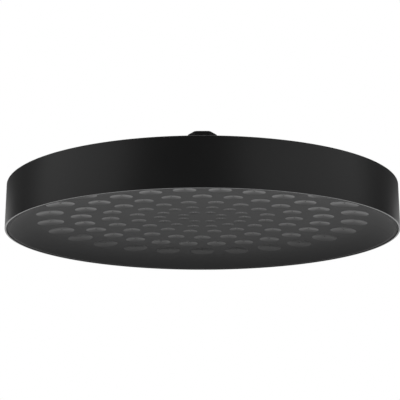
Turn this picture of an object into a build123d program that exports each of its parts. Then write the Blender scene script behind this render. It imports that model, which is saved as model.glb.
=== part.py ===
from build123d import *
import os
from collections import namedtuple
from math import acos, asin, cos, degrees, radians, sin, sqrt, tan

os.makedirs("parts", exist_ok=True)

# Rain shower head: a flat drum with a dished spray face, hung from its inlet by a ball joint.
# Millimetres, +Z up, with the origin on the axis at the mouth of the inlet thread.

# Drum shell
head_diameter = 360.0
drum_height = 41.0
shell_wall = 1.5
top_edge_radius = 0.6
rim_edge_radius = 1.4
shell_hole_clearance = 0.4

# Rings of hollows from the edge to the middle, spread between the outermost and the innermost ring.
# A ring turned by half a step has no hollow on +Y.
outer_ring_margin = 39.0
inner_ring_radius = 19.0
RingPlan = namedtuple("RingPlan", "count spread hollow turn")
ring_plans = [
    RingPlan(count=24, spread=1.0, hollow=12.4, turn=0.0),
    RingPlan(count=24, spread=0.762, hollow=9.8, turn=0.5),
    RingPlan(count=20, spread=0.545, hollow=8.5, turn=0.0),
    RingPlan(count=16, spread=0.344, hollow=7.2, turn=0.5),
    RingPlan(count=14, spread=0.168, hollow=5.9, turn=0.5),
    RingPlan(count=8, spread=0.0, hollow=5.2, turn=0.5),
]
hollow_edge_angle = 12.0
hollow_margin = 0.6
hollow_cap_margin = 1.5

# Spray face
face_recess = 18.6
dish_radius = 2180.0
outer_ring_slope = 5.5
face_wall = 3.0
edge_gap = 0.6
band_width = 2.5
band_recess = 0.6
flange_wall = 4.0
flange_height = 13.0

# Nozzles
nozzle_radius = 1.9
nozzle_bore_radius = 0.45
nozzle_proud = 0.05
mat_thickness = 1.6

# Water chamber
seat_ring_width = 8.0
seat_ring_rise = 3.5
seat_edge_margin = 8.0
cover_wall = 3.0
cover_lip = 2.0
roof_gap = 6.5
spigot_bore_radius = 9.0
spigot_wall = 3.0
spigot_reach = 8.0
rib_count = 12
rib_thickness = 2.5
rib_gap = 2.5

# Screws that close the chamber
screw_count = 16
screw_radius = 1.5
screw_length = 9.5
screw_head_radius = 3.2
screw_head_height = 2.2
screw_hole_clearance = 0.3
boss_radius = 3.8
boss_overlap = 1.0
boss_end_clearance = 0.5

# Neck and collar nut
neck_flange_width = 9.0
neck_flange_edge = 2.5
neck_cone_height = 4.0
neck_web = 3.4
neck_step = 1.5
neck_rim_wall = 1.45
neck_top_drop = 1.2
neck_flat_depth = 2.0
throat_radius = 8.5
collar_wall = 2.5
collar_lip = 1.84
collar_skirt_drop = 9.0
collar_step_drop = 0.5
collar_opening_angle = 57.0
collar_flare = 0.6
collar_edge_radius = 1.2
grip_count = 12
grip_radius = 1.6
grip_depth = 0.8
grip_top_margin = 4.0

# Ball joint
ball_radius = 12.0
ball_foot_wall = 1.1
shank_radius = 7.5
shank_length = 4.0
shank_fillet = 1.5
slip_ring_wall = 1.94
slip_ring_top_angle = 46.0
slip_ring_foot_angle = 80.0
seat_wall = 3.0
seat_top_drop = 2.4
seat_floor = 2.2
ball_seal_wire = 1.2
ball_seal_angle = 132.0
seat_washer_thickness = 1.2

# Inlet socket
hex_across_flats = 24.0
hex_height = 16.0
hex_chamfer = 0.6
thread_major_radius = 10.4775
thread_chamfer = 0.8
thread_depth = 9.5
washer_radius = 9.3
washer_hole_radius = 6.2
washer_thickness = 1.9
strainer_thickness = 0.5
strainer_hole_radius = 0.7
strainer_hole_rings = 2
regulator_radius = 6.2
regulator_height = 3.2
regulator_core_radius = 1.6
regulator_rim_wall = 1.2
regulator_floor = 1.2
regulator_port_count = 6
regulator_port_radius = 0.55
regulator_ring_wire = 0.7
waterway_radius = 4.5

# Round seals and flat gaskets
neck_gasket_thickness = 1.0
neck_gasket_margin = 1.0
chamber_seal_wire = 1.3
spigot_seal_wire = 0.9
rim_gasket_height = 4.0
rim_gasket_recess = 1.0

# Clearances
fit_clearance = 0.05
ball_clearance = 0.06
seal_clearance = 0.05
gland_clearance = 0.2
mat_clearance = 0.5
thread_clearance = 0.1

# Ball joint from the ball outwards, with the round seal that bears on the underside of the ball
seat_sphere = ball_radius + ball_clearance
slip_ring_outer = seat_sphere + slip_ring_wall
collar_sphere = slip_ring_outer + ball_clearance
seat_radius = ball_radius + seat_wall
seal_reach = seat_sphere + ball_seal_wire
seal_ring_radius = seal_reach * sin(radians(ball_seal_angle))
seal_ring_drop = -seal_reach * cos(radians(ball_seal_angle))
seal_room_radius = seal_ring_radius + ball_seal_wire + seal_clearance
seal_floor_drop = seal_ring_drop + ball_seal_wire + seal_clearance
seat_foot_drop = seal_floor_drop + seat_floor
ball_foot_drop = sqrt(ball_radius**2 - (waterway_radius + ball_foot_wall) ** 2)

# Neck and collar nut around the ball's seat
neck_thread_radius = seat_radius + fit_clearance + neck_rim_wall
neck_body_radius = neck_thread_radius + neck_step
neck_across_flats = 2 * (neck_body_radius - neck_flat_depth)
neck_flange_radius = neck_body_radius + neck_flange_width
collar_radius = neck_thread_radius + collar_wall
spigot_radius = spigot_bore_radius + spigot_wall
shoulder_radius = neck_flange_radius - neck_gasket_margin

# Levels on the axis
neck_stack = neck_gasket_thickness + spigot_reach + fit_clearance + neck_web
ball_above_drum = neck_stack + seat_washer_thickness + seat_foot_drop
inlet_height = hex_height + shank_length + ball_radius + ball_above_drum
drum_top = -inlet_height
plate_under = drum_top - shell_wall
rim = drum_top - drum_height
band_level = rim + band_recess
ball_centre = drum_top + ball_above_drum
hex_foot = -hex_height

# Radii of the drum and of the face in it
drum_radius = head_diameter / 2
shell_inner = drum_radius - shell_wall
face_radius = shell_inner - edge_gap
band_start = face_radius - band_width
flange_inner = face_radius - flange_wall

# The dish is part of a large sphere, and the outermost ring lies on a cone around it
SprayRing = namedtuple("SprayRing", "count radius hollow turn")
ring_span = drum_radius - outer_ring_margin - inner_ring_radius
spray_rings = [
    SprayRing(plan.count, inner_ring_radius + plan.spread * ring_span, plan.hollow, plan.turn)
    for plan in ring_plans
]
outer_ring = spray_rings[0]
second_ring = spray_rings[1]
dish_centre = rim + face_recess - dish_radius
dish_edge = second_ring.radius + second_ring.hollow + hollow_margin
cone_start = outer_ring.radius - outer_ring.hollow - hollow_margin
cone_end = outer_ring.radius + outer_ring.hollow + hollow_margin
dish_slope = degrees(asin(dish_edge / dish_radius))
blend_slope = (dish_slope + outer_ring_slope) / 2


def dish_level(radius, above=0.0):
    """Level of the dish's sphere, or of one that lies above it, at a distance from the axis."""
    return dish_centre + sqrt((dish_radius + above) ** 2 - radius**2)


dish_edge_level = dish_level(dish_edge)
cone_start_level = dish_edge_level - (cone_start - dish_edge) * tan(radians(blend_slope))


def face_level(ring):
    """Level of the face where the middles of a ring's hollows lie."""
    if ring is outer_ring:
        return cone_start_level - (ring.radius - cone_start) * tan(radians(outer_ring_slope))
    return dish_level(ring.radius)


def face_slope(ring):
    """Slope of the face under a ring of hollows, in degrees."""
    return outer_ring_slope if ring is outer_ring else degrees(asin(ring.radius / dish_radius))


def ring_turns(ring):
    """One turn about the axis for each hollow of a ring."""
    return PolarLocations(0, ring.count, start_angle=90 + ring.turn * 360 / ring.count)


def face_place(ring):
    """The middle of a ring's hollow on the face, with its Z axis square to the face."""
    return Locations(Location((ring.radius, 0, face_level(ring)), (0, face_slope(ring), 0)))


def hollow_sphere(ring):
    """Radius of the sphere whose cap cuts a ring's hollows."""
    return ring.hollow / sin(radians(hollow_edge_angle))


def hollow_drop(ring):
    """How far that sphere's middle lies below the face, square to it."""
    return hollow_sphere(ring) * cos(radians(hollow_edge_angle))


# Levels and radii of the water chamber
seat_inner = outer_ring.radius + seat_edge_margin
seat_outer = seat_inner + seat_ring_width
seat_middle = (seat_inner + seat_outer) / 2
seat_level = dish_level(seat_inner, face_wall) + seat_ring_rise
roof_top = plate_under - roof_gap
roof_under = roof_top - cover_wall
screw_circle = seat_outer + boss_radius - boss_overlap
cover_radius = screw_circle + screw_head_radius + cover_lip
cover_flange_top = seat_level + cover_wall
screw_foot = cover_flange_top - screw_length

# Levels of the neck, from the drum up to the ball
neck_foot = drum_top + neck_gasket_thickness
neck_cone_foot = neck_foot + neck_flange_edge
neck_cone_top = neck_cone_foot + neck_cone_height
spigot_top = neck_foot + spigot_reach
collar_foot = ball_centre - collar_skirt_drop
collar_opening = 90 - collar_opening_angle
collar_top = ball_centre + collar_sphere * sin(radians(collar_opening)) + collar_lip
neck_top = ball_centre - neck_top_drop
seat_foot = ball_centre - seat_foot_drop
seat_top = ball_centre - seat_top_drop
neck_ledge = seat_foot - seat_washer_thickness
seal_ring_level = ball_centre - seal_ring_drop

# Levels of the inlet socket
strainer_seat = -thread_depth - washer_thickness - strainer_thickness
regulator_seat = strainer_seat - regulator_height


# Drum shell
with BuildPart() as housing:
    shell_hole = spigot_radius + shell_hole_clearance
    with BuildSketch(Plane.XZ) as shell_profile:
        with BuildLine():
            Polyline(
                (shell_hole, drum_top),
                (drum_radius, drum_top),
                (drum_radius, rim),
                (shell_inner, rim),
                (shell_inner, plate_under),
                (shell_hole, plate_under),
                close=True,
            )
        make_face()
        fillet(shell_profile.vertices().sort_by_distance((drum_radius, drum_top))[0], top_edge_radius)
        fillet(shell_profile.vertices().sort_by_distance((drum_radius, rim))[0], rim_edge_radius)
    revolve(axis=Axis.Z)
housing.part.label = "housing"
export_step(housing.part, "parts/housing.step")


# Room under the spray face: the dish, the cone of the outermost ring and the cove down to the band
with BuildSketch(Plane.XZ) as face_room:
    with BuildLine():
        dish = CenterArc((0, dish_centre), dish_radius, 90, -dish_slope)
        blend = TangentArc(dish @ 1, (cone_start, cone_start_level), tangent=dish % 1)
        cone_run = cone_end - cone_start
        cone_end_level = cone_start_level - cone_run * tan(radians(outer_ring_slope))
        cone = Line(blend @ 1, (cone_end, cone_end_level))
        cove = TangentArc(cone @ 1, (band_start, band_level), tangent=cone % 1)
        Polyline(cove @ 1, (band_start, rim), (0, rim), dish @ 0)
    make_face()
cove_centre = cove.arc_center
cove_radius = cove.radius

# Spray face
with BuildPart() as spray_face:
    back_radius = cove_radius + face_wall
    back_start = degrees(acos((seat_outer - cove_centre.X) / back_radius))
    back_end = degrees(acos((flange_inner - cove_centre.X) / back_radius))
    back_slope = degrees(asin(seat_inner / (dish_radius + face_wall)))
    flange_top = band_level + flange_height
    with BuildSketch(Plane.XZ):
        with BuildLine():
            back = CenterArc((0, dish_centre), dish_radius + face_wall, 90, -back_slope)
            back_cove = CenterArc(
                (cove_centre.X, cove_centre.Y), back_radius, back_start, back_end - back_start
            )
            Polyline(back @ 1, (seat_inner, seat_level), (seat_outer, seat_level), back_cove @ 0)
            Polyline(
                back_cove @ 1,
                (flange_inner, flange_top),
                (face_radius, flange_top),
                (face_radius, band_level),
                (0, band_level),
                back @ 0,
            )
        make_face()
    revolve(axis=Axis.Z)
    with BuildSketch(Plane.XY.offset(seat_level)):
        with PolarLocations(screw_circle, screw_count):
            Circle(boss_radius)
    extrude(amount=band_level - seat_level)
    revolve(face_room.sketch, axis=Axis.Z, mode=Mode.SUBTRACT)
    with BuildSketch(Plane.XZ):
        with Locations((seat_middle, seat_level)):
            Rectangle(
                2 * (chamber_seal_wire + gland_clearance),
                2 * (2 * chamber_seal_wire - seal_clearance),
            )
    revolve(axis=Axis.Z, mode=Mode.SUBTRACT)
    with BuildSketch(Plane.XY.offset(seat_level)):
        with PolarLocations(screw_circle, screw_count):
            Circle(screw_radius + fit_clearance)
    extrude(amount=screw_foot - boss_end_clearance - seat_level, mode=Mode.SUBTRACT)
    cap_foot_angle = 90 - hollow_edge_angle - hollow_cap_margin
    for ring in spray_rings:
        with ring_turns(ring), face_place(ring), Locations((0, 0, -hollow_drop(ring))):
            Sphere(hollow_sphere(ring), cap_foot_angle, align=None, mode=Mode.SUBTRACT)
        with ring_turns(ring), face_place(ring):
            Cylinder(nozzle_radius + fit_clearance, 4 * face_wall, mode=Mode.SUBTRACT)
spray_face.part.label = "spray_face"
export_step(spray_face.part, "parts/spray_face.step")


# Soft mat with one nozzle for each hollow
with BuildPart() as nozzle_mat:
    mat_radius = seat_inner - mat_clearance
    under = dish_radius + face_wall
    over = under + mat_thickness
    with BuildSketch(Plane.XZ):
        with BuildLine():
            mat_under = CenterArc((0, dish_centre), under, 90, -degrees(asin(mat_radius / under)))
            mat_over = CenterArc((0, dish_centre), over, 90, -degrees(asin(mat_radius / over)))
            Line(mat_under @ 1, mat_over @ 1)
            Line(mat_under @ 0, mat_over @ 0)
        make_face()
    revolve(axis=Axis.Z)
    for ring in spray_rings:
        tip = hollow_sphere(ring) - hollow_drop(ring) - nozzle_proud
        root = dish_level(ring.radius, face_wall + mat_thickness / 2) - face_level(ring)
        with ring_turns(ring), face_place(ring), Locations((0, 0, (tip + root) / 2)):
            Cylinder(nozzle_radius, root - tip)
    for ring in spray_rings:
        with ring_turns(ring), face_place(ring):
            Cylinder(nozzle_bore_radius, 4 * (face_wall + mat_thickness), mode=Mode.SUBTRACT)
nozzle_mat.part.label = "nozzle_mat"
export_step(nozzle_mat.part, "parts/nozzle_mat.step")


# Soft strip that fills the gap between the face and the shell
with BuildPart() as rim_gasket:
    with BuildSketch(Plane.XY.offset(band_level + rim_gasket_recess)):
        Circle(shell_inner)
        Circle(face_radius, mode=Mode.SUBTRACT)
    extrude(amount=rim_gasket_height)
rim_gasket.part.label = "rim_gasket"
export_step(rim_gasket.part, "parts/rim_gasket.step")


# Round seal in the groove of the seat ring
with BuildPart() as chamber_seal:
    with BuildSketch(Plane.XZ):
        with Locations((seat_middle, seat_level - chamber_seal_wire)):
            Circle(chamber_seal_wire - seal_clearance)
    revolve(axis=Axis.Z)
chamber_seal.part.label = "chamber_seal"
export_step(chamber_seal.part, "parts/chamber_seal.step")


# Cover of the water chamber, with the spigot that passes through the shell into the neck
with BuildPart() as chamber_cover:
    roof_outer = seat_inner + cover_wall
    with BuildSketch(Plane.XZ):
        with BuildLine():
            Polyline(
                (spigot_bore_radius, spigot_top),
                (spigot_radius, spigot_top),
                (spigot_radius, plate_under),
                (shoulder_radius, plate_under),
                (shoulder_radius, roof_top),
                (roof_outer, roof_top),
                (roof_outer, cover_flange_top),
                (cover_radius, cover_flange_top),
                (cover_radius, seat_level),
                (seat_inner, seat_level),
                (seat_inner, roof_under),
                (spigot_bore_radius, roof_under),
                close=True,
            )
        make_face()
    revolve(axis=Axis.Z)
    rib_run = roof_outer - shoulder_radius + rib_thickness
    with BuildSketch(Plane.XY.offset(roof_top)):
        with PolarLocations((roof_outer + shoulder_radius - rib_thickness) / 2, rib_count):
            Rectangle(rib_run, rib_thickness)
    extrude(amount=roof_gap - rib_gap)
    with BuildSketch(Plane.XY.offset(cover_flange_top)):
        with PolarLocations(screw_circle, screw_count):
            Circle(screw_radius + screw_hole_clearance)
    extrude(amount=-cover_wall, mode=Mode.SUBTRACT)
    spigot_seal_level = spigot_top - spigot_reach / 2
    with BuildSketch(Plane.XZ):
        with Locations((spigot_radius, spigot_seal_level)):
            Rectangle(
                2 * (2 * spigot_seal_wire - fit_clearance),
                2 * (spigot_seal_wire + gland_clearance),
            )
    revolve(axis=Axis.Z, mode=Mode.SUBTRACT)
chamber_cover.part.label = "chamber_cover"
export_step(chamber_cover.part, "parts/chamber_cover.step")


# Screws that hold the cover to the face
with BuildPart() as chamber_screws:
    with BuildSketch(Plane.XZ) as screw_profile:
        with BuildLine():
            Polyline(
                (0, screw_foot),
                (screw_radius, screw_foot),
                (screw_radius, cover_flange_top),
                (screw_head_radius, cover_flange_top),
                (screw_head_radius, cover_flange_top + screw_head_height),
                (0, cover_flange_top + screw_head_height),
                close=True,
            )
        make_face()
        head_corner = (screw_head_radius, cover_flange_top + screw_head_height)
        fillet(screw_profile.vertices().sort_by_distance(head_corner)[0], screw_head_height / 2)
    screw = revolve(axis=Axis.Z, mode=Mode.PRIVATE)
    with PolarLocations(screw_circle, screw_count):
        add(screw)
chamber_screws.part.label = "chamber_screws"
export_step(chamber_screws.part, "parts/chamber_screws.step")


# Round seal between the spigot and the neck
with BuildPart() as spigot_seal:
    with BuildSketch(Plane.XZ):
        with Locations((spigot_radius - spigot_seal_wire + fit_clearance, spigot_seal_level)):
            Circle(spigot_seal_wire - seal_clearance)
    revolve(axis=Axis.Z)
spigot_seal.part.label = "spigot_seal"
export_step(spigot_seal.part, "parts/spigot_seal.step")


# Flat gasket between the shell and the neck
with BuildPart() as neck_gasket:
    with BuildSketch(Plane.XY.offset(drum_top)):
        Circle(neck_flange_radius - neck_gasket_margin)
        Circle(shell_hole, mode=Mode.SUBTRACT)
    extrude(amount=neck_gasket_thickness)
neck_gasket.part.label = "neck_gasket"
export_step(neck_gasket.part, "parts/neck_gasket.step")


# Neck that clamps the shell to the spigot and holds the ball's lower seat
with BuildPart() as neck:
    collar_seat = collar_foot - thread_clearance
    with BuildSketch(Plane.XZ):
        with BuildLine():
            Polyline(
                (spigot_radius + fit_clearance, neck_foot),
                (neck_flange_radius, neck_foot),
                (neck_flange_radius, neck_cone_foot),
                (neck_body_radius, neck_cone_top),
                (neck_body_radius, collar_seat),
                (neck_thread_radius, collar_seat),
                (neck_thread_radius, neck_top),
                (seat_radius + fit_clearance, neck_top),
                (seat_radius + fit_clearance, neck_ledge),
                (throat_radius, neck_ledge),
                (throat_radius, spigot_top + fit_clearance),
                (spigot_radius + fit_clearance, spigot_top + fit_clearance),
                close=True,
            )
        make_face()
    revolve(axis=Axis.Z)
    flat_height = collar_seat - neck_cone_top
    with BuildSketch(Plane.XY.offset(neck_cone_top)):
        Circle(neck_body_radius)
        Rectangle(2 * neck_body_radius, neck_across_flats, mode=Mode.SUBTRACT)
    extrude(amount=flat_height, mode=Mode.SUBTRACT)
neck.part.label = "neck"
export_step(neck.part, "parts/neck.step")


# Soft washer under the ball's lower seat
with BuildPart() as seat_washer:
    with BuildSketch(Plane.XY.offset(neck_ledge)):
        Circle(seat_radius)
        Circle(throat_radius, mode=Mode.SUBTRACT)
    extrude(amount=seat_washer_thickness)
seat_washer.part.label = "seat_washer"
export_step(seat_washer.part, "parts/seat_washer.step")


# Round seal that bears on the underside of the ball
with BuildPart() as ball_seal:
    with BuildSketch(Plane.XZ):
        with Locations((seal_ring_radius, seal_ring_level)):
            Circle(ball_seal_wire)
    revolve(axis=Axis.Z)
ball_seal.part.label = "ball_seal"
export_step(ball_seal.part, "parts/ball_seal.step")


# Lower seat of the ball, with room for its seal
with BuildPart() as ball_seat:
    seal_floor = ball_centre - seal_floor_drop
    top_angle = degrees(asin(seat_top_drop / seat_sphere))
    room_angle = degrees(acos(seal_room_radius / seat_sphere))
    with BuildSketch(Plane.XZ):
        with BuildLine():
            bearing = CenterArc((0, ball_centre), seat_sphere, -top_angle, top_angle - room_angle)
            Polyline(
                bearing @ 1,
                (seal_room_radius, seal_floor),
                (throat_radius, seal_floor),
                (throat_radius, seat_foot),
                (seat_radius, seat_foot),
                (seat_radius, seat_top),
                bearing @ 0,
            )
        make_face()
    revolve(axis=Axis.Z)
ball_seat.part.label = "ball_seat"
export_step(ball_seat.part, "parts/ball_seat.step")


# Thin cup that slides between the ball and the collar nut
with BuildPart() as slip_ring:
    cup_start = 90 - slip_ring_foot_angle
    cup_sweep = slip_ring_foot_angle - slip_ring_top_angle
    with BuildSketch(Plane.XZ):
        with BuildLine():
            cup_inside = CenterArc((0, ball_centre), seat_sphere, cup_start, cup_sweep)
            cup_outside = CenterArc((0, ball_centre), slip_ring_outer, cup_start, cup_sweep)
            Line(cup_inside @ 0, cup_outside @ 0)
            Line(cup_inside @ 1, cup_outside @ 1)
        make_face()
    revolve(axis=Axis.Z)
slip_ring.part.label = "slip_ring"
export_step(slip_ring.part, "parts/slip_ring.step")


# Collar nut that screws on the neck and keeps the ball in
with BuildPart() as collar_nut:
    nut_bore = neck_thread_radius + thread_clearance
    with BuildSketch(Plane.XZ) as collar_profile:
        with BuildLine():
            bowl = CenterArc((0, ball_centre), collar_sphere, 0, collar_opening)
            Polyline(
                bowl @ 1,
                (collar_sphere * cos(radians(collar_opening)) + collar_flare, collar_top),
                (collar_radius, collar_top),
                (collar_radius, collar_foot),
                (nut_bore, collar_foot),
                (nut_bore, ball_centre - collar_step_drop),
                (collar_sphere, ball_centre - collar_step_drop),
                bowl @ 0,
            )
        make_face()
        collar_corner = (collar_radius, collar_top)
        fillet(collar_profile.vertices().sort_by_distance(collar_corner)[0], collar_edge_radius)
    revolve(axis=Axis.Z)
    with BuildSketch(Plane.XY.offset(collar_foot)):
        with PolarLocations(collar_radius + grip_radius - grip_depth, grip_count):
            Circle(grip_radius)
    extrude(amount=collar_top - grip_top_margin - collar_foot, mode=Mode.SUBTRACT)
collar_nut.part.label = "collar_nut"
export_step(collar_nut.part, "parts/collar_nut.step")


# Ball, shank and hexagon socket, turned from one bar
with BuildPart() as ball_stem:
    hex_corner = hex_across_flats / 2 / cos(radians(30))
    with BuildSketch(Plane.XY):
        RegularPolygon(hex_across_flats / 2, 6, major_radius=False)
    extrude(amount=-hex_height)
    with BuildSketch(Plane.XZ):
        with BuildLine():
            chamfer_drop = hex_chamfer * tan(radians(30))
            Polyline(
                (0, 0),
                (hex_corner - hex_chamfer, 0),
                (hex_corner, -chamfer_drop),
                (hex_corner, hex_foot + chamfer_drop),
                (hex_corner - hex_chamfer, hex_foot),
                (0, hex_foot),
                close=True,
            )
        make_face()
    revolve(axis=Axis.Z, mode=Mode.INTERSECT)
    with BuildSketch(Plane.XZ):
        with BuildLine():
            shank_angle = degrees(acos(shank_radius / ball_radius))
            foot_angle = degrees(asin(ball_foot_drop / ball_radius))
            ball = CenterArc((0, ball_centre), ball_radius, shank_angle, -shank_angle - foot_angle)
            Polyline(ball @ 1, (0, ball_centre - ball_foot_drop), (0, hex_foot))
            flare = RadiusArc(
                (shank_radius, hex_foot - shank_fillet),
                (shank_radius + shank_fillet, hex_foot),
                shank_fillet,
            )
            Line((0, hex_foot), flare @ 1)
            Line(flare @ 0, ball @ 0)
        make_face()
    revolve(axis=Axis.Z)
    with BuildSketch(Plane.XZ):
        with BuildLine():
            Polyline(
                (0, 0),
                (thread_major_radius + thread_chamfer, 0),
                (thread_major_radius, -thread_chamfer),
                (thread_major_radius, -thread_depth),
                (washer_radius, -thread_depth),
                (washer_radius, strainer_seat),
                (regulator_radius, strainer_seat),
                (regulator_radius, regulator_seat),
                (waterway_radius, regulator_seat),
                (waterway_radius, ball_centre - ball_radius),
                (0, ball_centre - ball_radius),
                close=True,
            )
        make_face()
    revolve(axis=Axis.Z, mode=Mode.SUBTRACT)
ball_stem.part.label = "ball_stem"
export_step(ball_stem.part, "parts/ball_stem.step")


# Flow regulator: a cup with ports around a core
with BuildPart() as flow_regulator:
    with BuildSketch(Plane.XY.offset(regulator_seat)):
        Circle(regulator_radius - fit_clearance)
    extrude(amount=regulator_height)
    room_outer = regulator_radius - fit_clearance - regulator_rim_wall
    with BuildSketch(Plane.XY.offset(regulator_seat + regulator_floor)):
        Circle(room_outer)
        Circle(regulator_core_radius, mode=Mode.SUBTRACT)
    extrude(amount=regulator_height - regulator_floor, mode=Mode.SUBTRACT)
    port_circle = (regulator_core_radius + waterway_radius) / 2
    with BuildSketch(Plane.XY.offset(regulator_seat)):
        with PolarLocations(port_circle, regulator_port_count):
            Circle(regulator_port_radius)
    extrude(amount=regulator_floor, mode=Mode.SUBTRACT)
flow_regulator.part.label = "flow_regulator"
export_step(flow_regulator.part, "parts/flow_regulator.step")


# Elastic ring around the regulator's core, which narrows the gap as the pressure rises
with BuildPart() as regulator_ring:
    with BuildSketch(Plane.XZ):
        ring_level = regulator_seat + regulator_floor + regulator_ring_wire
        with Locations((regulator_core_radius + regulator_ring_wire + seal_clearance, ring_level)):
            Circle(regulator_ring_wire)
    revolve(axis=Axis.Z)
regulator_ring.part.label = "regulator_ring"
export_step(regulator_ring.part, "parts/regulator_ring.step")


# Strainer disc under the washer, with rings of holes over the regulator
with BuildPart() as strainer:
    hole_step = (washer_hole_radius - strainer_hole_radius) / (strainer_hole_rings + 0.5)
    with BuildSketch(Plane.XY.offset(strainer_seat)):
        Circle(washer_radius - fit_clearance)
        Circle(strainer_hole_radius, mode=Mode.SUBTRACT)
        for hole_ring in range(1, strainer_hole_rings + 1):
            with PolarLocations(hole_ring * hole_step, 6 * hole_ring):
                Circle(strainer_hole_radius, mode=Mode.SUBTRACT)
    extrude(amount=strainer_thickness)
strainer.part.label = "strainer"
export_step(strainer.part, "parts/strainer.step")


# Flat washer that the supply pipe seals against
with BuildPart() as inlet_washer:
    with BuildSketch(Plane.XY.offset(strainer_seat + strainer_thickness)):
        Circle(washer_radius - fit_clearance)
        Circle(washer_hole_radius, mode=Mode.SUBTRACT)
    extrude(amount=washer_thickness)
inlet_washer.part.label = "inlet_washer"
export_step(inlet_washer.part, "parts/inlet_washer.step")
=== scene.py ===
"""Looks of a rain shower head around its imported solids: finishes, fine detail, light and camera."""
import math

import bmesh
import bpy
from mathutils import Matrix, Vector


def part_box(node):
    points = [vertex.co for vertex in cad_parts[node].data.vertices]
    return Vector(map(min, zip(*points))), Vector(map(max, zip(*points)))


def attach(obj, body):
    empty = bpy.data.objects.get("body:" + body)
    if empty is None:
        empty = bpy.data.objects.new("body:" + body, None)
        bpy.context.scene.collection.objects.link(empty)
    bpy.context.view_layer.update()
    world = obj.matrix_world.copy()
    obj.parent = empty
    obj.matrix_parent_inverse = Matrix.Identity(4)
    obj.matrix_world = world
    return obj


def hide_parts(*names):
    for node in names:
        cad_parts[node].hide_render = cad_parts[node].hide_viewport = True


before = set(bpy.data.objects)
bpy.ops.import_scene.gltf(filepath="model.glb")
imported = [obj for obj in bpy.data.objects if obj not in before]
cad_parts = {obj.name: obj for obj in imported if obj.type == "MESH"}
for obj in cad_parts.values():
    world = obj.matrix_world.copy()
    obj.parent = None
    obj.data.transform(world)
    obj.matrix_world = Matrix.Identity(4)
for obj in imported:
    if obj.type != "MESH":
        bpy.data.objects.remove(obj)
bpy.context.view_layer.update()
scene = bpy.context.scene
scene.view_settings.view_transform = "Standard"

# Sizes in metres, in the frame of the solids
MM = 0.001
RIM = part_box("housing")[0].z
DRUM_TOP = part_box("housing")[1].z
DRUM_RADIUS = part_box("housing")[1].x

# Rings of hollows in the spray face, as the solids have them: spread between the outermost ring and
# the innermost one, with the hollow's radius in millimetres, the ring's turn in steps, and how far its
# hollows are smoother than the face between them
OUTER_RING = DRUM_RADIUS - 39.0 * MM
INNER_RING = 19.0 * MM
RING_PLANS = [
    {"count": 24, "spread": 1.0, "hollow": 12.4, "turn": 0.0, "polish": 1.0},
    {"count": 24, "spread": 0.762, "hollow": 9.8, "turn": 0.5, "polish": 1.0},
    {"count": 20, "spread": 0.545, "hollow": 8.5, "turn": 0.0, "polish": 0.85},
    {"count": 16, "spread": 0.344, "hollow": 7.2, "turn": 0.5, "polish": 0.7},
    {"count": 14, "spread": 0.168, "hollow": 5.9, "turn": 0.5, "polish": 0.5},
    {"count": 8, "spread": 0.0, "hollow": 5.2, "turn": 0.5, "polish": 0.35},
]


def ring_radius(plan):
    """Distance of a ring's hollows from the axis."""
    return INNER_RING + plan["spread"] * (OUTER_RING - INNER_RING)


# Node helpers. A value in a tree is a pair of a node and the name or number of its output.
def add(tree, kind, **settings):
    """A new node in a tree, with its own settings."""
    made = tree.nodes.new(kind)
    for name, value in settings.items():
        setattr(made, name, value)
    return made


def join(tree, source, output, target, socket):
    """A link from a node's output to an input of another node."""
    tree.links.new(source.outputs[output], target.inputs[socket])


def math_node(tree, operation, *values):
    """The result of a math node whose inputs are numbers or values in the tree."""
    made = add(tree, "ShaderNodeMath", operation=operation)
    for socket, value in enumerate(values):
        if isinstance(value, tuple):
            join(tree, *value, made, socket)
        else:
            made.inputs[socket].default_value = value
    return (made, "Value")


def object_place(tree):
    """Object coordinates, separated."""
    made = add(tree, "ShaderNodeSeparateXYZ")
    join(tree, add(tree, "ShaderNodeTexCoord"), "Object", made, "Vector")
    return made


def axis_distance(tree, place):
    """Distance from the axis, from separated coordinates."""
    x, y = (place, "X"), (place, "Y")
    squares = math_node(tree, "MULTIPLY_ADD", x, x, math_node(tree, "POWER", y, 2.0))
    return math_node(tree, "SQRT", squares)


def between(tree, value, start, end):
    """A smooth step from 0 at a start to 1 at an end."""
    made = add(tree, "ShaderNodeMapRange", interpolation_type="SMOOTHSTEP")
    join(tree, *value, made, "Value")
    made.inputs["From Min"].default_value = start
    made.inputs["From Max"].default_value = end
    return (made, "Result")


def mix_shaders(tree, share, first, second):
    """Two shaders mixed by the share of the second."""
    made = add(tree, "ShaderNodeMixShader")
    join(tree, *share, made, "Fac")
    tree.links.new(first.outputs[0], made.inputs[1])
    tree.links.new(second.outputs[0], made.inputs[2])
    return made


def new_group(name, inputs, outputs):
    """An empty shader node group with named sockets, given as (name, kind, default)."""
    tree = bpy.data.node_groups.new(name, "ShaderNodeTree")
    for socket, kind, default in inputs:
        made = tree.interface.new_socket(socket, in_out="INPUT", socket_type=kind)
        made.default_value = default
    for socket, kind in outputs:
        tree.interface.new_socket(socket, in_out="OUTPUT", socket_type=kind)
    return tree, tree.nodes.new("NodeGroupInput"), tree.nodes.new("NodeGroupOutput")


# Shader groups
GRAIN_DETAIL = 2.0
CLOUD_DETAIL = 3.0


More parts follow.
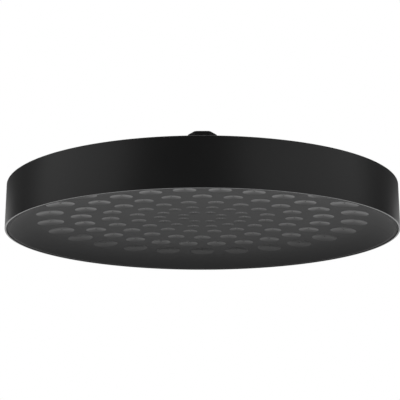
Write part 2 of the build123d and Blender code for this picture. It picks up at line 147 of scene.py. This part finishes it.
def fine_grain_group():
    """Fine moulded or sprayed grain: a slightly uneven tone and gloss, and a height for a bump."""
    tree, given, out = new_group(
        "fine_grain",
        [
            ("Colour", "NodeSocketColor", (0.02, 0.02, 0.02, 1)),
            ("Tone Spread", "NodeSocketFloat", 0.1),
            ("Roughness", "NodeSocketFloat", 0.5),
            ("Roughness Spread", "NodeSocketFloat", 0.05),
            ("Grain Scale", "NodeSocketFloat", 2500.0),
            ("Cloud Scale", "NodeSocketFloat", 25.0),
        ],
        [
            ("Colour", "NodeSocketColor"),
            ("Roughness", "NodeSocketFloat"),
            ("Height", "NodeSocketFloat"),
        ],
    )
    place = add(tree, "ShaderNodeTexCoord")
    grain = add(tree, "ShaderNodeTexNoise")
    grain.inputs["Detail"].default_value = GRAIN_DETAIL
    join(tree, place, "Object", grain, "Vector")
    join(tree, given, "Grain Scale", grain, "Scale")
    cloud = add(tree, "ShaderNodeTexNoise")
    cloud.inputs["Detail"].default_value = CLOUD_DETAIL
    join(tree, place, "Object", cloud, "Vector")
    join(tree, given, "Cloud Scale", cloud, "Scale")
    # Each noise lies around a half, so that both together lie around 1
    both = math_node(tree, "ADD", (grain, "Fac"), (cloud, "Fac"))
    centred = math_node(tree, "SUBTRACT", both, 1.0)
    tone = math_node(tree, "MULTIPLY_ADD", centred, (given, "Tone Spread"), 1.0)
    tinted = add(tree, "ShaderNodeVectorMath", operation="SCALE")
    join(tree, given, "Colour", tinted, 0)
    join(tree, *tone, tinted, "Scale")
    join(tree, tinted, "Vector", out, "Colour")
    gloss = math_node(tree, "MULTIPLY_ADD", centred, (given, "Roughness Spread"), (given, "Roughness"))
    join(tree, *gloss, out, "Roughness")
    join(tree, grain, "Fac", out, "Height")
    return tree


def hollow_ring_group():
    """Mask of one ring of round hollows about the axis, from Object coordinates."""
    tree, given, out = new_group(
        "hollow_ring",
        [
            ("Ring Radius", "NodeSocketFloat", 0.1),
            ("Count", "NodeSocketFloat", 24.0),
            ("Turn", "NodeSocketFloat", 0.0),
            ("Hollow Radius", "NodeSocketFloat", 0.01),
            ("Edge Width", "NodeSocketFloat", 0.4 * MM),
        ],
        [("Mask", "NodeSocketFloat")],
    )
    place = object_place(tree)
    reach = axis_distance(tree, place)
    # The angle from +Y in steps of the ring, and what is left of it to the nearest hollow
    angle = math_node(tree, "ARCTAN2", (place, "X"), (place, "Y"))
    step = math_node(tree, "DIVIDE", 2 * math.pi, (given, "Count"))
    steps = math_node(tree, "ADD", math_node(tree, "DIVIDE", angle, step), (given, "Turn"))
    rest = math_node(tree, "SUBTRACT", steps, math_node(tree, "ROUND", steps))
    aside = math_node(tree, "MULTIPLY", rest, step)
    along = math_node(tree, "MULTIPLY", reach, math_node(tree, "COSINE", aside))
    out_of_ring = math_node(tree, "SUBTRACT", along, (given, "Ring Radius"))
    across = math_node(tree, "MULTIPLY", reach, math_node(tree, "SINE", aside))
    squares = math_node(tree, "MULTIPLY_ADD", across, across, math_node(tree, "POWER", out_of_ring, 2.0))
    away = math_node(tree, "SQRT", squares)
    inside = math_node(tree, "SUBTRACT", (given, "Hollow Radius"), away)
    share = math_node(tree, "DIVIDE", inside, (given, "Edge Width"))
    mask = add(tree, "ShaderNodeClamp")
    join(tree, *share, mask, "Value")
    join(tree, mask, "Result", out, "Mask")
    return tree


FINE_GRAIN = fine_grain_group()
HOLLOW_RING = hollow_ring_group()

# Finishes
TONE_SPREAD = 0.1
GLOSS_SPREAD = 0.04
BUMP_STRENGTH = 0.3


def finish(name, colour, roughness, grain_scale, grain_depth, specular=0.5, metallic=0.0):
    """A procedural finish: the fine grain drives colour, gloss and bump of one principled shader."""
    made = bpy.data.materials.new(name)
    made.use_nodes = True
    tree = made.node_tree
    shader = tree.nodes["Principled BSDF"]
    shader.inputs["Metallic"].default_value = metallic
    shader.inputs["Specular IOR Level"].default_value = specular
    grain = add(tree, "ShaderNodeGroup", node_tree=FINE_GRAIN, name="grain")
    grain.inputs["Colour"].default_value = (*colour, 1)
    grain.inputs["Tone Spread"].default_value = TONE_SPREAD
    grain.inputs["Roughness"].default_value = roughness
    grain.inputs["Roughness Spread"].default_value = GLOSS_SPREAD
    grain.inputs["Grain Scale"].default_value = grain_scale
    join(tree, grain, "Colour", shader, "Base Color")
    join(tree, grain, "Roughness", shader, "Roughness")
    bump = add(tree, "ShaderNodeBump")
    bump.inputs["Distance"].default_value = grain_depth
    bump.inputs["Strength"].default_value = BUMP_STRENGTH
    join(tree, grain, "Height", bump, "Height")
    join(tree, bump, "Normal", shader, "Normal")
    return made


# Numbers of a Mix node's sockets for each kind of data: what is there, what takes its place, the result
MIX_SOCKETS = {"FLOAT": (2, 3, 0), "RGBA": (6, 7, 2)}


def vary(tree, mask, kind, grain_output, special, socket):
    """Under a mask, a fixed value takes the place of what the grain gives to the shader's socket."""
    plain_socket, special_socket, result = MIX_SOCKETS[kind]
    mix = add(tree, "ShaderNodeMix", data_type=kind)
    join(tree, *mask, mix, 0)
    join(tree, tree.nodes["grain"], grain_output, mix, plain_socket)
    mix.inputs[special_socket].default_value = special
    join(tree, mix, result, tree.nodes["Principled BSDF"], socket)


HOLLOW_ROUGHNESS = 0.3
HOLLOW_COLOUR = (0.01, 0.01, 0.01, 1)


def polish_hollows(tree):
    """Smoother, darker hollows in a finish that is grained between them."""
    whole = None
    for plan in RING_PLANS:
        ring = add(tree, "ShaderNodeGroup", node_tree=HOLLOW_RING)
        ring.inputs["Ring Radius"].default_value = ring_radius(plan)
        ring.inputs["Count"].default_value = plan["count"]
        ring.inputs["Turn"].default_value = plan["turn"]
        ring.inputs["Hollow Radius"].default_value = plan["hollow"] * MM
        mask = math_node(tree, "MULTIPLY", (ring, "Mask"), plan["polish"])
        whole = math_node(tree, "MAXIMUM", whole, mask) if whole else mask
    vary(tree, whole, "FLOAT", "Roughness", HOLLOW_ROUGHNESS, "Roughness")
    vary(tree, whole, "RGBA", "Colour", HOLLOW_COLOUR, "Base Color")


RIM_ROUGHNESS = 0.16
BURNISH_START = RIM + 0.4 * MM
BURNISH_FULL = RIM + 0.1 * MM


def burnish_rim(tree):
    """Smoother coat on the flat of the drum's rim."""
    mask = between(tree, (object_place(tree), "Z"), BURNISH_START, BURNISH_FULL)
    vary(tree, mask, "FLOAT", "Roughness", RIM_ROUGHNESS, "Roughness")


# A finish for each material slot of the solids. The drum shell has the black coat with a burnished rim.
COAT = {
    "colour": (0.005, 0.0051, 0.0052),
    "roughness": 0.38,
    "grain_scale": 2200.0,
    "grain_depth": 0.02 * MM,
    "specular": 0.4,
}
FINISHES = {
    "matt_black": finish("matt_black_coat", **COAT),
    "graphite": finish(
        "graphite_moulding",
        colour=(0.021, 0.021, 0.0213),
        roughness=0.58,
        grain_scale=1800.0,
        grain_depth=0.005 * MM,
        specular=0.25,
    ),
    "nozzle_rubber": finish(
        "nozzle_silicone",
        colour=(0.014, 0.014, 0.0142),
        roughness=0.32,
        grain_scale=1500.0,
        grain_depth=0.005 * MM,
        specular=0.3,
    ),
    "chamber_plastic": finish(
        "chamber_moulding",
        colour=(0.12, 0.12, 0.125),
        roughness=0.5,
        grain_scale=900.0,
        grain_depth=0.03 * MM,
    ),
    "seal_rubber": finish(
        "seal_rubber",
        colour=(0.012, 0.012, 0.012),
        roughness=0.6,
        grain_scale=1500.0,
        grain_depth=0.02 * MM,
    ),
    "bearing_plastic": finish(
        "bearing_plastic",
        colour=(0.62, 0.61, 0.57),
        roughness=0.35,
        grain_scale=1200.0,
        grain_depth=0.01 * MM,
    ),
    "steel": finish(
        "turned_steel",
        colour=(0.55, 0.55, 0.54),
        roughness=0.3,
        grain_scale=1200.0,
        grain_depth=0.01 * MM,
        metallic=1.0,
    ),
    "regulator_plastic": finish(
        "regulator_moulding",
        colour=(0.6, 0.61, 0.62),
        roughness=0.35,
        grain_scale=900.0,
        grain_depth=0.01 * MM,
    ),
}
polish_hollows(FINISHES["graphite"].node_tree)
DRUM_COAT = finish("drum_coat", **COAT)
burnish_rim(DRUM_COAT.node_tree)

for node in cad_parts.values():
    for held in node.material_slots:
        held.material = FINISHES[held.material.name]


def new_object(name, data):
    """An object in the scene, at the origin."""
    made = bpy.data.objects.new(name, data)
    scene.collection.objects.link(made)
    return made


# Drum shell, with the crisp edges of its rim
SHELL_WALL = 1.5 * MM
SPIGOT_HOLE = 12.4 * MM
SHELL_TURNS = 360
FINE_EDGE = 0.2 * MM
TOP_EDGE = 0.6 * MM
INNER_EDGE = 0.5 * MM
EDGE_STEPS = 4
SHARP_ANGLE = 40.0


def rounded(corner, before, after, radius):
    """Points of a profile's square corner, rounded between the ways in from before and out to after."""
    corner, before, after = Vector(corner), Vector(before), Vector(after)
    start = corner + (before - corner).normalized() * radius
    end = corner + (after - corner).normalized() * radius
    middle = start + end - corner
    turns = (math.pi / 2 * step / EDGE_STEPS for step in range(EDGE_STEPS + 1))
    return [middle + (start - middle) * math.cos(turn) + (end - middle) * math.sin(turn) for turn in turns]


def turned(profile):
    """Vertices and faces of a closed profile that is turned about the axis, in the same order each run."""
    count = len(profile)
    vertices, faces = [], []
    for step in range(SHELL_TURNS):
        turn = 2 * math.pi * step / SHELL_TURNS
        vertices += [(point.x * math.cos(turn), point.x * math.sin(turn), point.y) for point in profile]
        here, there = step * count, (step + 1) % SHELL_TURNS * count
        for index in range(count):
            after = (index + 1) % count
            faces.append((here + index, here + after, there + after, there + index))
    return vertices, faces


def drum_shell():
    """The shell turned about the axis from its profile."""
    inner, under = DRUM_RADIUS - SHELL_WALL, DRUM_TOP - SHELL_WALL
    corners = [
        ((SPIGOT_HOLE, DRUM_TOP), FINE_EDGE),
        ((DRUM_RADIUS, DRUM_TOP), TOP_EDGE),
        ((DRUM_RADIUS, RIM), FINE_EDGE),
        ((inner, RIM), FINE_EDGE),
        ((inner, under), INNER_EDGE),
        ((SPIGOT_HOLE, under), FINE_EDGE),
    ]
    profile = []
    for index, (corner, radius) in enumerate(corners):
        before = corners[index - 1][0]
        after = corners[(index + 1) % len(corners)][0]
        profile += rounded(corner, before, after, radius)
    vertices, faces = turned(profile)
    mesh = bpy.data.meshes.new("drum_shell")
    mesh.from_pydata(vertices, [], faces)
    mesh.shade_smooth()
    mesh.set_sharp_from_angle(angle=math.radians(SHARP_ANGLE))
    mesh.materials.append(DRUM_COAT)
    made = new_object("drum_shell", mesh)
    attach(made, "head")
    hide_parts("housing")


drum_shell()


# Geometry Nodes: what repeats, or follows a path, grows from a tree with named sizes
def geometry_tree(name, inputs):
    """An empty geometry tree with named inputs, given as (name, kind), and a geometry output."""
    tree = bpy.data.node_groups.new(name, "GeometryNodeTree")
    tree.is_modifier = True
    for socket, kind in inputs:
        tree.interface.new_socket(socket, in_out="INPUT", socket_type=kind)
    tree.interface.new_socket("Geometry", in_out="OUTPUT", socket_type="NodeSocketGeometry")
    return tree, tree.nodes.new("NodeGroupInput"), tree.nodes.new("NodeGroupOutput")


def close_tree(tree, made, output, given, out):
    """The end of each tree: real meshes, with the finish on them."""
    real = add(tree, "GeometryNodeRealizeInstances")
    join(tree, made, output, real, "Geometry")
    dressed = add(tree, "GeometryNodeSetMaterial")
    join(tree, real, "Geometry", dressed, "Geometry")
    join(tree, given, "Finish", dressed, "Material")
    join(tree, dressed, "Geometry", out, "Geometry")


def grow(name, tree, sizes):
    """A plain mesh from a geometry tree with its inputs set."""
    carrier = new_object(name, bpy.data.meshes.new(name + "_seed"))
    modifier = carrier.modifiers.new("tree", "NODES")
    modifier.node_group = tree
    for socket in tree.interface.items_tree:
        if socket.in_out == "INPUT":
            modifier[socket.identifier] = sizes[socket.name]
    mesh = bpy.data.meshes.new_from_object(carrier.evaluated_get(bpy.context.evaluated_depsgraph_get()))
    bpy.data.objects.remove(carrier)
    return mesh


# Pipe thread in the mouth of the inlet
THREAD_MAJOR = 10.4775 * MM
THREAD_MINOR = 9.3155 * MM
THREAD_PITCH = 1.814 * MM
THREAD_TOP = -1.7 * MM
THREAD_FOOT = -8.7 * MM
THREAD_ROOT_WIDTH = 1.5 * MM
THREAD_CREST_WIDTH = 0.3 * MM
THREAD_SUNK = 0.04 * MM
THREAD_STEPS = 72


def thread_tree():
    """An inside thread: one ridge with a flat crest, wound along the wall of a bore."""
    tree, given, out = geometry_tree(
        "inlet_thread",
        [
            ("Turns", "NodeSocketFloat"),
            ("Radius", "NodeSocketFloat"),
            ("Length", "NodeSocketFloat"),
            ("Start Level", "NodeSocketFloat"),
            ("Ridge Depth", "NodeSocketFloat"),
            ("Root Width", "NodeSocketFloat"),
            ("Crest Width", "NodeSocketFloat"),
            ("Finish", "NodeSocketMaterial"),
        ],
    )
    path = add(tree, "GeometryNodeCurveSpiral")
    path.inputs["Resolution"].default_value = THREAD_STEPS
    join(tree, given, "Turns", path, "Rotations")
    join(tree, given, "Radius", path, "Start Radius")
    join(tree, given, "Radius", path, "End Radius")
    join(tree, given, "Length", path, "Height")
    upright = add(tree, "GeometryNodeSetCurveNormal", mode="Z_UP")
    join(tree, path, "Curve", upright, "Curve")
    ridge = add(tree, "GeometryNodeCurvePrimitiveQuadrilateral", mode="TRAPEZOID")
    join(tree, given, "Ridge Depth", ridge, "Height")
    join(tree, given, "Root Width", ridge, "Bottom Width")
    join(tree, given, "Crest Width", ridge, "Top Width")
    ridge.inputs["Offset"].default_value = 0.0
    # A quarter turn of the profile points its crest at the axis
    inward = add(tree, "GeometryNodeTransform")
    inward.inputs["Rotation"].default_value = (0, 0, math.radians(-90))
    join(tree, ridge, "Curve", inward, "Geometry")
    swept = add(tree, "GeometryNodeCurveToMesh")
    swept.inputs["Fill Caps"].default_value = True
    join(tree, upright, "Curve", swept, "Curve")
    join(tree, inward, "Geometry", swept, "Profile Curve")
    level = add(tree, "ShaderNodeCombineXYZ")
    join(tree, given, "Start Level", level, "Z")
    placed = add(tree, "GeometryNodeTransform")
    join(tree, swept, "Mesh", placed, "Geometry")
    join(tree, level, "Vector", placed, "Translation")
    close_tree(tree, placed, "Geometry", given, out)
    return tree


def inlet_thread():
    """The thread's ridge, with its root a little sunk in the wall of the bore."""
    mesh = grow(
        "inlet_thread",
        thread_tree(),
        {
            "Turns": (THREAD_TOP - THREAD_FOOT) / THREAD_PITCH,
            "Radius": (THREAD_MAJOR + THREAD_MINOR + THREAD_SUNK) / 2,
            "Length": THREAD_TOP - THREAD_FOOT,
            "Start Level": THREAD_FOOT,
            "Ridge Depth": THREAD_MAJOR - THREAD_MINOR + THREAD_SUNK,
            "Root Width": THREAD_ROOT_WIDTH,
            "Crest Width": THREAD_CREST_WIDTH,
            "Finish": FINISHES["matt_black"],
        },
    )
    made = new_object("inlet_thread", mesh)
    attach(made, "stem")


inlet_thread()

# Lips on the ends of the nozzles
LIP_RADIUS = 1.0 * MM
LIP_WIRE = 0.06 * MM
LIP_SIDES = 12
WIRE_SIDES = 5
PROBE_LEVEL = RIM - 10 * MM


def lip_tree():
    """Round lips at the ends of one ring of nozzles, square to the face."""
    tree, given, out = geometry_tree(
        "nozzle_lips",
        [
            ("Count", "NodeSocketInt"),
            ("Ring Radius", "NodeSocketFloat"),
            ("Turn", "NodeSocketFloat"),
            ("Level", "NodeSocketFloat"),
            ("Slope", "NodeSocketFloat"),
            ("Lip Radius", "NodeSocketFloat"),
            ("Lip Wire", "NodeSocketFloat"),
            ("Finish", "NodeSocketMaterial"),
        ],
    )
    ring = add(tree, "GeometryNodeMeshCircle")
    join(tree, given, "Count", ring, "Vertices")
    join(tree, given, "Ring Radius", ring, "Radius")
    level = add(tree, "ShaderNodeCombineXYZ")
    join(tree, given, "Level", level, "Z")
    turn = add(tree, "ShaderNodeCombineXYZ")
    join(tree, given, "Turn", turn, "Z")
    places = add(tree, "GeometryNodeTransform")
    join(tree, ring, "Mesh", places, "Geometry")
    join(tree, level, "Vector", places, "Translation")
    join(tree, turn, "Vector", places, "Rotation")
    # Each lip leans outwards with the face, so its turn comes from its own place
    part = add(tree, "ShaderNodeSeparateXYZ")
    join(tree, add(tree, "GeometryNodeInputPosition"), "Position", part, "Vector")
    angle = math_node(tree, "ARCTAN2", (part, "Y"), (part, "X"))
    lean = add(tree, "ShaderNodeCombineXYZ")
    join(tree, given, "Slope", lean, "Y")
    join(tree, *angle, lean, "Z")
    lip = add(tree, "GeometryNodeCurvePrimitiveCircle")
    lip.inputs["Resolution"].default_value = LIP_SIDES
    join(tree, given, "Lip Radius", lip, "Radius")
    wire = add(tree, "GeometryNodeCurvePrimitiveCircle")
    wire.inputs["Resolution"].default_value = WIRE_SIDES
    join(tree, given, "Lip Wire", wire, "Radius")
    swept = add(tree, "GeometryNodeCurveToMesh")
    join(tree, lip, "Curve", swept, "Curve")
    join(tree, wire, "Curve", swept, "Profile Curve")
    smooth = add(tree, "GeometryNodeSetShadeSmooth")
    join(tree, swept, "Mesh", smooth, "Geometry")
    spread = add(tree, "GeometryNodeInstanceOnPoints")
    join(tree, places, "Geometry", spread, "Points")
    join(tree, smooth, "Geometry", spread, "Instance")
    join(tree, lean, "Vector", spread, "Rotation")
    close_tree(tree, spread, "Instances", given, out)
    return tree


def nozzle_lips():
    """A lip around each nozzle's bore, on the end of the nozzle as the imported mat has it."""
    tree = lip_tree()
    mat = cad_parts["nozzle_mat"]
    whole = bmesh.new()
    for plan in RING_PLANS:
        turn = math.pi / 2 + plan["turn"] * 2 * math.pi / plan["count"]
        outward = Vector((math.cos(turn), math.sin(turn), 0))
        # A probe from below, beside the bore, finds the end's level and slope
        aside = Vector((-outward.y, outward.x, 0)) * LIP_RADIUS
        start = outward * ring_radius(plan) + aside + Vector((0, 0, PROBE_LEVEL))
        hit, end, normal, _ = mat.ray_cast(start, Vector((0, 0, 1)))
        if not hit:
            raise RuntimeError("no nozzle where a ring of hollows has one")
        mesh = grow(
            "nozzle_lips",
            tree,
            {
                "Count": plan["count"],
                "Ring Radius": ring_radius(plan),
                "Turn": turn,
                "Level": end.z,
                "Slope": math.asin(-normal.dot(outward)),
                "Lip Radius": LIP_RADIUS,
                "Lip Wire": LIP_WIRE,
                "Finish": FINISHES["nozzle_rubber"],
            },
        )
        whole.from_mesh(mesh)
    mesh = bpy.data.meshes.new("nozzle_lips")
    whole.to_mesh(mesh)
    whole.free()
    mesh.materials.append(FINISHES["nozzle_rubber"])
    made = new_object("nozzle_lips", mesh)
    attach(made, "head")


nozzle_lips()


def straight_rays(tree):
    """1 for the rays that see the background as it is: from the camera and through glass."""
    path = add(tree, "ShaderNodeLightPath")
    return math_node(tree, "MAXIMUM", (path, "Is Camera Ray"), (path, "Is Transmission Ray"))


def background_rays(tree):
    """1 for the rays that show the background: straight ones, and those in gloss."""
    path = add(tree, "ShaderNodeLightPath")
    return math_node(tree, "MAXIMUM", straight_rays(tree), (path, "Is Glossy Ray"))


# Floor, far below the head as in a shower, pale, with the head's soft shadow
FLOOR_LEVEL = -1.1
FLOOR_RADIUS = 3.4
FLOOR_FADE = 3.0
FLOOR_SIDES = 128
FLOOR_COLOUR = (0.85, 0.85, 0.85, 1)
FLOOR_ROUGHNESS = 0.9


def floor():
    """A pale disc that runs out into the white around it."""
    bpy.ops.mesh.primitive_circle_add(vertices=FLOOR_SIDES, radius=FLOOR_RADIUS, fill_type="NGON")
    made = bpy.context.object
    made.name = "floor"
    made.data.transform(Matrix.Translation((0, 0, FLOOR_LEVEL)))
    paint = bpy.data.materials.new("floor_paint")
    paint.use_nodes = True
    tree = paint.node_tree
    shader = tree.nodes["Principled BSDF"]
    shader.inputs["Base Color"].default_value = FLOOR_COLOUR
    shader.inputs["Roughness"].default_value = FLOOR_ROUGHNESS
    edge = between(tree, axis_distance(tree, object_place(tree)), FLOOR_FADE, FLOOR_RADIUS)
    share = math_node(tree, "MULTIPLY", edge, background_rays(tree))
    above = mix_shaders(tree, share, shader, add(tree, "ShaderNodeEmission"))
    # From under the floor the head is seen through it
    from_below = (add(tree, "ShaderNodeNewGeometry"), "Backfacing")
    whole = mix_shaders(tree, from_below, above, add(tree, "ShaderNodeBsdfTransparent"))
    join(tree, whole, "Shader", tree.nodes["Material Output"], "Surface")
    made.data.materials.append(paint)


floor()

# Light
MIDDLE = Vector((0, 0, -0.08))
SIDE_DISTANCE = 1.7
SIDE_LEVEL = 0.35


def beside(degrees):
    """A place beside the head, by its turn from the front towards +X."""
    turn = math.radians(degrees)
    return (SIDE_DISTANCE * math.sin(turn), -SIDE_DISTANCE * math.cos(turn), SIDE_LEVEL)


def softbox(name, place, width, height, watts):
    """A soft area lamp that looks at the middle of the head."""
    lamp = bpy.data.lights.new(name, "AREA")
    lamp.shape = "RECTANGLE"
    lamp.size = width
    lamp.size_y = height
    lamp.energy = watts
    made = new_object(name, lamp)
    made.location = place
    made.rotation_euler = (MIDDLE - made.location).to_track_quat("-Z", "Y").to_euler()


softbox("left_softbox", place=beside(degrees=-69), width=2.0, height=1.5, watts=6.6)
softbox("right_softbox", place=beside(degrees=59), width=2.8, height=1.5, watts=8.0)
softbox("top_softbox", place=(0, 0.2, 1.8), width=1.6, height=1.6, watts=14.0)

# The room that the gloss sees: white low behind the head, where the camera looks, and dim elsewhere.
# Each pair is where the white starts and where it is full, along +Y and down Z.
ROOM_GREY = 0.1
BACKDROP_SIDE = (0.7, 0.8)
BACKDROP_TOP = (0.3, 0.15)
PLAIN_LIGHT = 0.54
WHITE = (1, 1, 1, 1)


def studio_world():
    """White behind the head, also in its gloss, a dim room around it, and plain soft light."""
    world = bpy.data.worlds.new("studio")
    scene.world = world
    world.use_nodes = True
    tree = world.node_tree
    tree.nodes.clear()
    way = add(tree, "ShaderNodeSeparateXYZ")
    join(tree, add(tree, "ShaderNodeTexCoord"), "Generated", way, "Vector")
    side = between(tree, (way, "Y"), *BACKDROP_SIDE)
    top = between(tree, (way, "Z"), *BACKDROP_TOP)
    backdrop = math_node(tree, "MAXIMUM", math_node(tree, "MULTIPLY", side, top), straight_rays(tree))
    level = math_node(tree, "MAXIMUM", backdrop, ROOM_GREY)
    seen = add(tree, "ShaderNodeBackground")
    join(tree, *level, seen, "Strength")
    plain = add(tree, "ShaderNodeBackground")
    plain.inputs["Strength"].default_value = PLAIN_LIGHT
    for shade in (seen, plain):
        shade.inputs["Color"].default_value = WHITE
    mix = mix_shaders(tree, background_rays(tree), plain, seen)
    join(tree, mix, "Shader", add(tree, "ShaderNodeOutputWorld"), "Surface")


studio_world()

# Camera at the photograph's place, in metres and degrees
IMAGE_SIDE = 400
FOCAL_PIXELS = 969.68
SENSOR_WIDTH = 36.0
CAMERA_BACK = 0.8806
CAMERA_BELOW_RIM = 0.1833
CAMERA_PITCH = 13.926
CAMERA_YAW = 0.144
NEAREST_SEEN = 0.01
FARTHEST_SEEN = 50.0

lens = bpy.data.cameras.new("camera")
lens.sensor_width = SENSOR_WIDTH
lens.lens = FOCAL_PIXELS * SENSOR_WIDTH / IMAGE_SIDE
lens.clip_start = NEAREST_SEEN
lens.clip_end = FARTHEST_SEEN
camera = new_object("camera", lens)
camera.location = (0, -CAMERA_BACK, RIM - CAMERA_BELOW_RIM)
camera.rotation_euler = (math.radians(90 + CAMERA_PITCH), 0, math.radians(CAMERA_YAW))
scene.camera = camera
